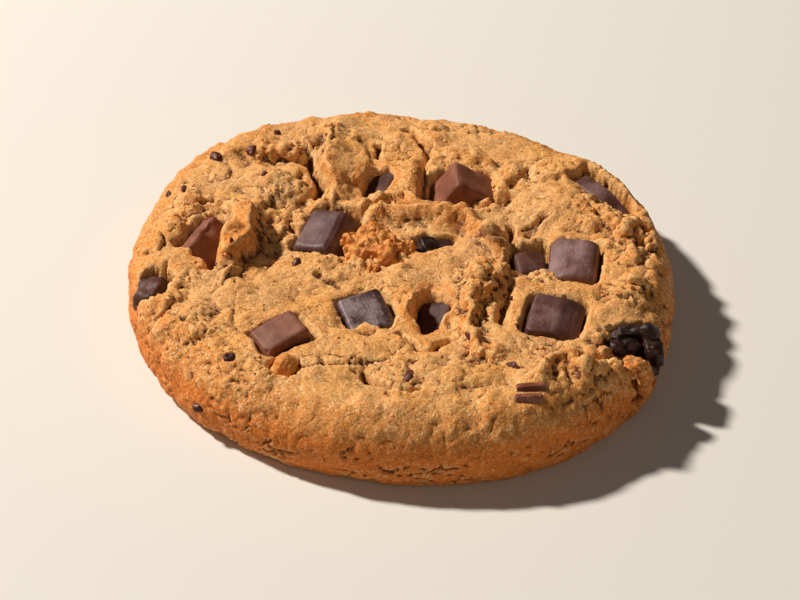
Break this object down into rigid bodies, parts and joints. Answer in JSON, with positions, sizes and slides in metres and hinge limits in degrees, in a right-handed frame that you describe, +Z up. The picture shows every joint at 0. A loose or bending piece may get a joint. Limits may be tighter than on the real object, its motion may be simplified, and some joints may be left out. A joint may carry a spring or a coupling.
{
  "type": "chocolate chip cookie",
  "caption": "Round baked cookie with a cracked uneven top, rounded rim and flat underside, with chocolate chunks and browned nuggets set into the top.",
  "frame": {"origin": "middle of the outline on the flat underside", "axes": "+Z up out of the top of the cookie; +X to the right and +Y away from the viewer in the picture"},
  "size_m": [0.09, 0.0902, 0.017],
  "materials": {
    "dough": "matte, sandy baked crumb",
    "browned_dough": "matte, crumbly and browned",
    "milk_chocolate": "satin",
    "dark_chocolate": "satin to glossy"
  },
  "bodies": {
    "root": {"dough": "dough", "nugget_browned": "browned_dough", "nugget_bead": "browned_dough", "chunk_milk_back": "milk_chocolate", "chunk_milk_left": "milk_chocolate", "chunk_milk_front": "milk_chocolate", "chunk_milk_sunken": "milk_chocolate", "chunk_rounded_right": "milk_chocolate", "chunk_hole_back": "milk_chocolate", "chunk_hole_front": "milk_chocolate", "chunk_dark_left": "dark_chocolate", "chunk_dark_middle": "dark_chocolate", "chunk_dark_right": "dark_chocolate", "chunk_bar_rim": "dark_chocolate", "chunk_crumpled_rim": "dark_chocolate", "chunk_glossy_middle": "dark_chocolate", "chunk_glossy_rim": "dark_chocolate"}
  },
  "joints": []
}
